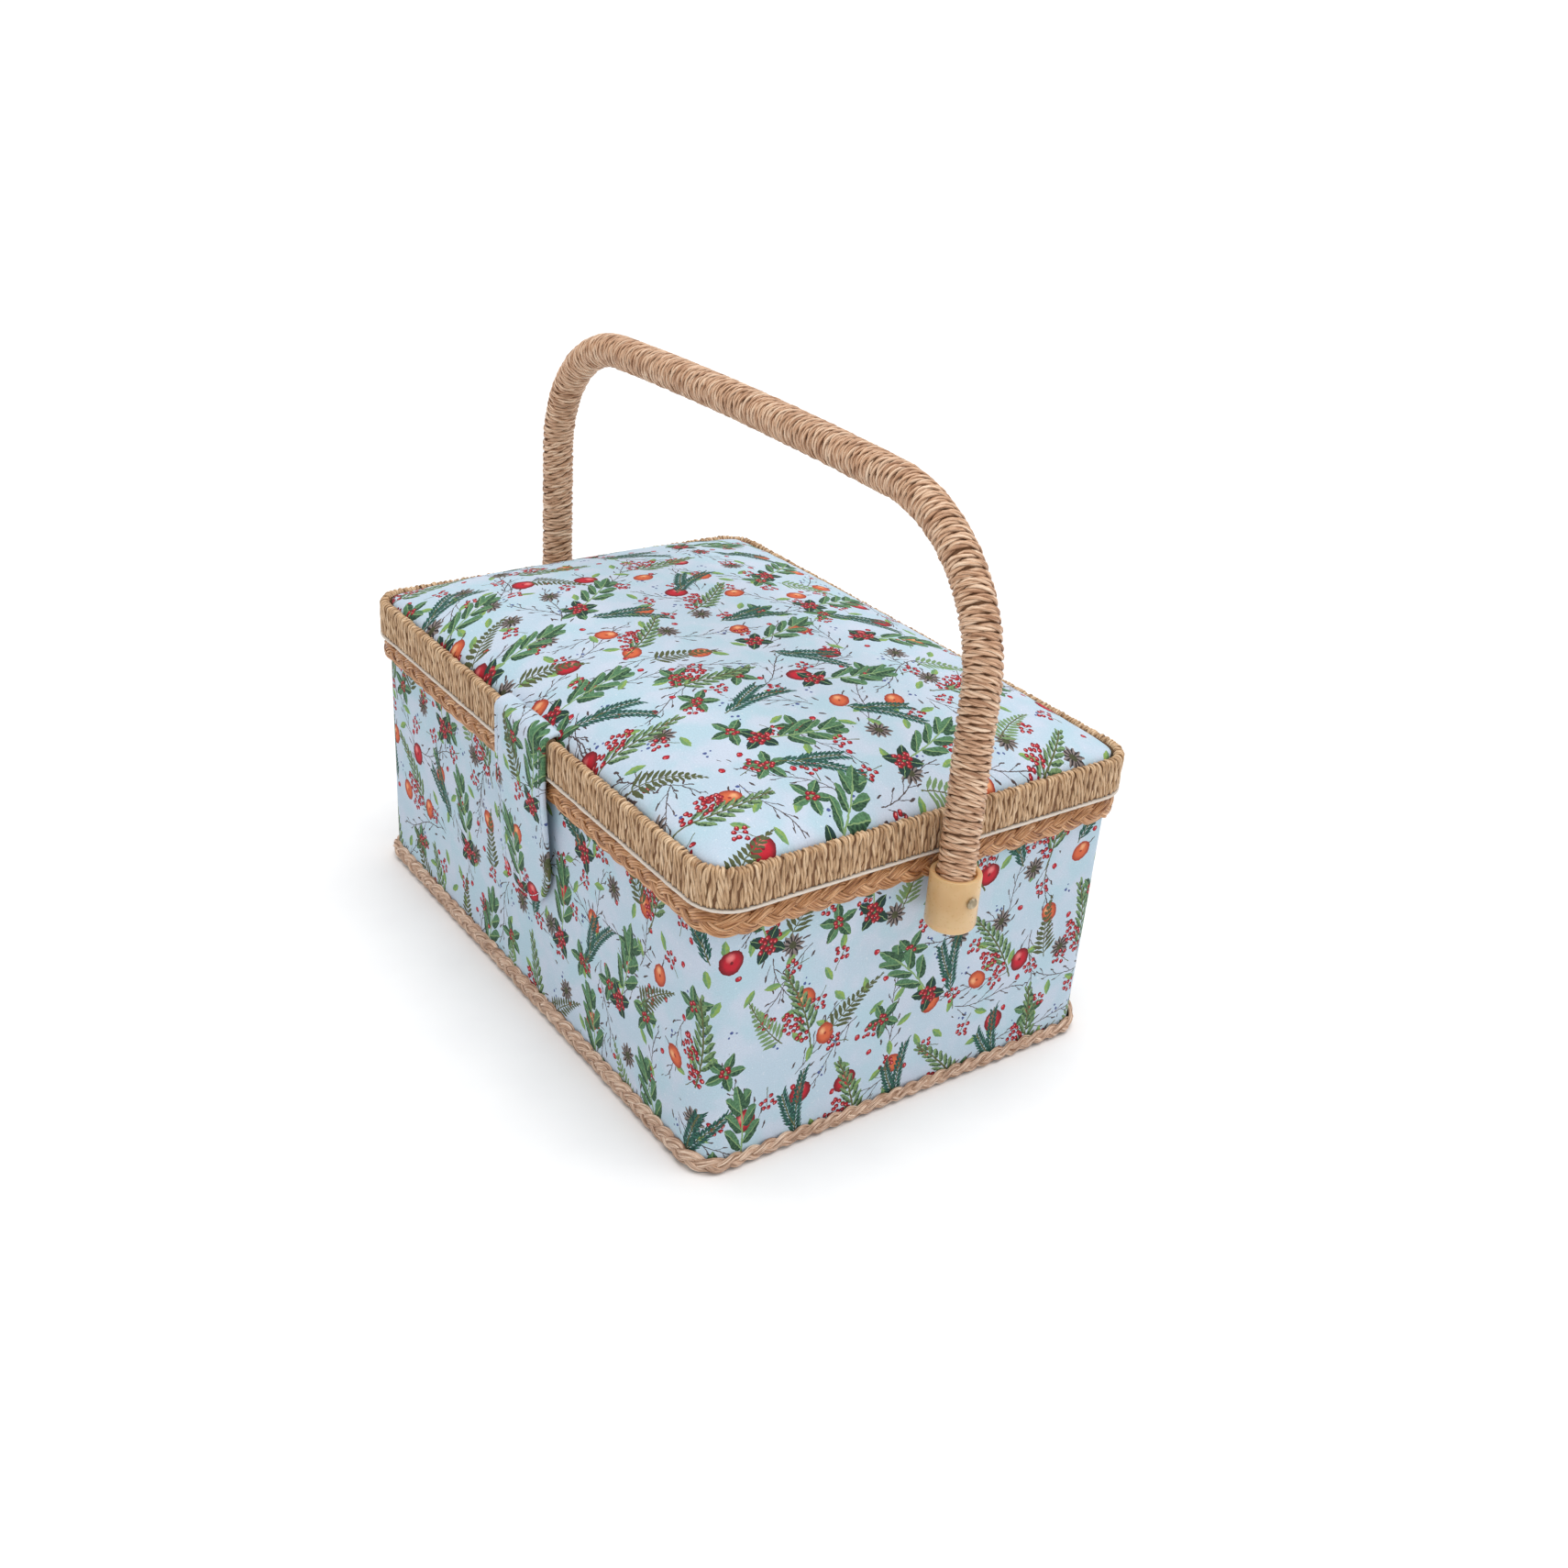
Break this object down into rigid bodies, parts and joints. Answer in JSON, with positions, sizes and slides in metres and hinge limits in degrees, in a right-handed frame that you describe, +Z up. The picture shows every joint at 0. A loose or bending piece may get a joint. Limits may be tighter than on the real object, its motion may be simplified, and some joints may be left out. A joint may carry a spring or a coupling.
{
  "type": "sewing basket",
  "caption": "Rectangular fabric-covered sewing basket with a padded hinged lid, straw braids, a closure tab, an inner tray and a raffia-wound bail handle.",
  "frame": {"origin": "middle of the underside, on the surface it stands on", "axes": "+X along the long side towards the right end seen from the front, -Y towards the front with the closure tab, +Z up"},
  "size_m": [0.3084, 0.1965, 0.2384],
  "materials": {
    "printed_cotton": "light blue cotton with a small woodland print",
    "lining_cotton": "plain cream cotton",
    "fibreboard": "bare fibreboard",
    "straw_braid": "plaited straw",
    "raffia": "glossy wound raffia",
    "felt_edging": "cream felt edge",
    "foam": "soft upholstery foam",
    "beige_plastic": "moulded, satin",
    "tray_plastic": "translucent white, moulded",
    "pincushion_cotton": "plain red cotton",
    "handle_tube": "extruded tube",
    "nickel_steel": "nickel plated, dull"
  },
  "bodies": {
    "basket": {"base_board": "fibreboard", "body_walls": "fibreboard", "wall_fabric": "printed_cotton", "body_lining": "lining_cotton", "base_braid": "straw_braid", "top_braid": "straw_braid", "keeper_plate": "nickel_steel", "tray_ledge_left": "fibreboard", "tray_ledge_right": "fibreboard", "pivot_screw_left": "nickel_steel", "pivot_screw_right": "nickel_steel", "pivot_washer_left": "nickel_steel", "pivot_washer_right": "nickel_steel", "pivot_nut_left": "nickel_steel", "pivot_nut_right": "nickel_steel", "hinge_body_leaf_left": "nickel_steel", "hinge_body_leaf_right": "nickel_steel", "hinge_pin_left": "nickel_steel", "hinge_pin_right": "nickel_steel", "body_leaf_screw_left_1": "nickel_steel", "body_leaf_screw_left_2": "nickel_steel", "body_leaf_screw_right_1": "nickel_steel", "body_leaf_screw_right_2": "nickel_steel"},
    "tray": {"tray": "tray_plastic", "pincushion": "pincushion_cotton"},
    "lid": {"lid_edging": "felt_edging", "lid_rim_core": "fibreboard", "lid_rim_wrap": "raffia", "lid_board": "fibreboard", "lid_lining": "lining_cotton", "lid_pocket": "lining_cotton", "lid_cover": "printed_cotton", "lid_pad": "foam", "tab_root": "printed_cotton", "hinge_lid_leaf_left": "nickel_steel", "hinge_lid_leaf_right": "nickel_steel", "lid_leaf_screw_left_1": "nickel_steel", "lid_leaf_screw_left_2": "nickel_steel", "lid_leaf_screw_right_1": "nickel_steel", "lid_leaf_screw_right_2": "nickel_steel"},
    "tab": {"closure_tab": "printed_cotton", "tab_magnet": "nickel_steel"},
    "handle": {"handle_core": "handle_tube", "handle_wrap": "raffia", "socket_left": "beige_plastic", "socket_right": "beige_plastic"}
  },
  "joints": [
    {"name": "lid_hinge", "type": "hinge", "parent": "basket", "child": "lid", "pos_m": [0, 0.09715, 0.1099], "axis": [-1, 0, 0], "range_deg": [0, 28]},
    {"name": "tab_flap", "type": "hinge", "parent": "lid", "child": "tab", "pos_m": [0.0074, -0.0969, 0.1269], "axis": [-1, 0, 0], "range_deg": [0, 150]},
    {"name": "handle_swing", "type": "hinge", "parent": "basket", "child": "handle", "pos_m": [0, 0, 0.098], "axis": [1, 0, 0], "range_deg": [-120, 120]},
    {"name": "tray_lift", "type": "slide", "parent": "basket", "child": "tray", "axis": [0, 0, 1], "range_m": [0, 0.012]}
  ]
}
